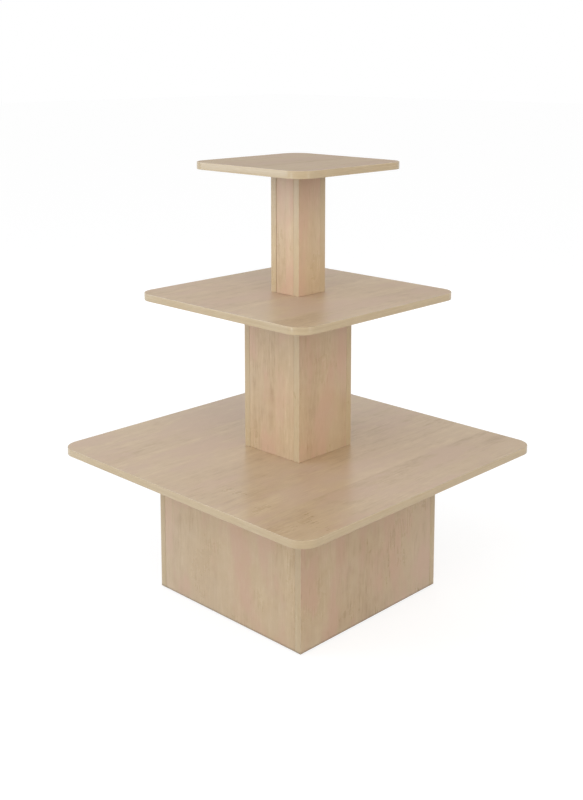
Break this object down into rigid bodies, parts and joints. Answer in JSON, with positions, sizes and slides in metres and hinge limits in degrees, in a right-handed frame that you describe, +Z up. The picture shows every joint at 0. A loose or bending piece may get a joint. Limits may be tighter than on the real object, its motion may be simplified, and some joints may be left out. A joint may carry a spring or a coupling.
{
  "type": "tiered display table",
  "caption": "Free-standing tiered display table: square rounded-corner shelves in pale maple laminate stepping up square box pedestals, on levelling feet.",
  "frame": {"origin": "on the floor under the middle of the table", "axes": "+Z up, X and Y along the sides of the shelves, -Y towards the side whose pedestal panels are let in between the side panels"},
  "size_m": [0.9144, 0.9144, 1.1811],
  "materials": {
    "maple_laminate": "satin laminate with fine maple grain",
    "maple_edge_band": "satin pale edge band",
    "chipboard": "raw",
    "zinc_steel": "zinc plated",
    "black_nylon": "moulded matt"
  },
  "bodies": {
    "table": {"bottom_shelf_board": "maple_laminate", "bottom_shelf_edge_band": "maple_edge_band", "middle_shelf_board": "maple_laminate", "middle_shelf_edge_band": "maple_edge_band", "top_shelf_board": "maple_laminate", "top_shelf_edge_band": "maple_edge_band", "base_back_panel": "maple_laminate", "base_front_panel": "maple_laminate", "base_left_panel": "maple_laminate", "base_right_panel": "maple_laminate", "base_back_panel_left_band": "maple_edge_band", "base_back_panel_right_band": "maple_edge_band", "base_left_panel_band": "maple_edge_band", "base_right_panel_band": "maple_edge_band", "middle_column_back_panel": "maple_laminate", "middle_column_front_panel": "maple_laminate", "middle_column_left_panel": "maple_laminate", "middle_column_right_panel": "maple_laminate", "middle_column_back_panel_left_band": "maple_edge_band", "middle_column_back_panel_right_band": "maple_edge_band", "middle_column_left_panel_band": "maple_edge_band", "middle_column_right_panel_band": "maple_edge_band", "top_column_back_panel": "maple_laminate", "top_column_front_panel": "maple_laminate", "top_column_left_panel": "maple_laminate", "top_column_right_panel": "maple_laminate", "top_column_back_panel_left_band": "maple_edge_band", "top_column_back_panel_right_band": "maple_edge_band", "top_column_left_panel_band": "maple_edge_band", "top_column_right_panel_band": "maple_edge_band", "base_top_plate": "chipboard", "middle_column_bottom_plug": "chipboard", "middle_column_top_plug": "chipboard", "top_column_bottom_plug": "chipboard", "top_column_top_plug": "chipboard", "bottom_shelf_dowel": "chipboard", "middle_shelf_dowel": "chipboard", "top_shelf_dowel": "chipboard", "tie_rod": "zinc_steel", "tie_rod_socket": "zinc_steel", "tie_rod_clamp_plate": "zinc_steel", "tie_rod_nut": "zinc_steel", "back_right_corner_block": "chipboard", "back_right_foot_insert": "zinc_steel", "back_left_corner_block": "chipboard", "back_left_foot_insert": "zinc_steel", "front_left_corner_block": "chipboard", "front_left_foot_insert": "zinc_steel", "front_right_corner_block": "chipboard", "front_right_foot_insert": "zinc_steel"},
    "back_right_foot": {"back_right_foot_pad": "black_nylon"},
    "back_right_stud": {"back_right_foot_stud": "zinc_steel"},
    "back_left_foot": {"back_left_foot_pad": "black_nylon"},
    "back_left_stud": {"back_left_foot_stud": "zinc_steel"},
    "front_left_foot": {"front_left_foot_pad": "black_nylon"},
    "front_left_stud": {"front_left_foot_stud": "zinc_steel"},
    "front_right_foot": {"front_right_foot_pad": "black_nylon"},
    "front_right_stud": {"front_right_foot_stud": "zinc_steel"}
  },
  "joints": [
    {"name": "back_right_foot_travel", "type": "slide", "parent": "table", "child": "back_right_foot", "axis": [0, 0, -1], "range_m": [0, 0.012]},
    {"name": "back_right_stud_turn", "type": "hinge", "parent": "back_right_foot", "child": "back_right_stud", "pos_m": [0.21745, 0.21745, 0.0068], "axis": [0, 0, -1], "range_deg": [0, 3460]},
    {"name": "back_left_foot_travel", "type": "slide", "parent": "table", "child": "back_left_foot", "axis": [0, 0, -1], "range_m": [0, 0.012]},
    {"name": "back_left_stud_turn", "type": "hinge", "parent": "back_left_foot", "child": "back_left_stud", "pos_m": [-0.21745, 0.21745, 0.0068], "axis": [0, 0, -1], "range_deg": [0, 3460]},
    {"name": "front_left_foot_travel", "type": "slide", "parent": "table", "child": "front_left_foot", "axis": [0, 0, -1], "range_m": [0, 0.012]},
    {"name": "front_left_stud_turn", "type": "hinge", "parent": "front_left_foot", "child": "front_left_stud", "pos_m": [-0.21745, -0.21745, 0.0068], "axis": [0, 0, -1], "range_deg": [0, 3460]},
    {"name": "front_right_foot_travel", "type": "slide", "parent": "table", "child": "front_right_foot", "axis": [0, 0, -1], "range_m": [0, 0.012]},
    {"name": "front_right_stud_turn", "type": "hinge", "parent": "front_right_foot", "child": "front_right_stud", "pos_m": [0.21745, -0.21745, 0.0068], "axis": [0, 0, -1], "range_deg": [0, 3460]}
  ],
  "couplings": [
    {"joint": "back_right_stud_turn", "follows": "back_right_foot_travel", "rad_per_m": 5026.5},
    {"joint": "back_left_stud_turn", "follows": "back_left_foot_travel", "rad_per_m": 5026.5},
    {"joint": "front_left_stud_turn", "follows": "front_left_foot_travel", "rad_per_m": 5026.5},
    {"joint": "front_right_stud_turn", "follows": "front_right_foot_travel", "rad_per_m": 5026.5}
  ]
}
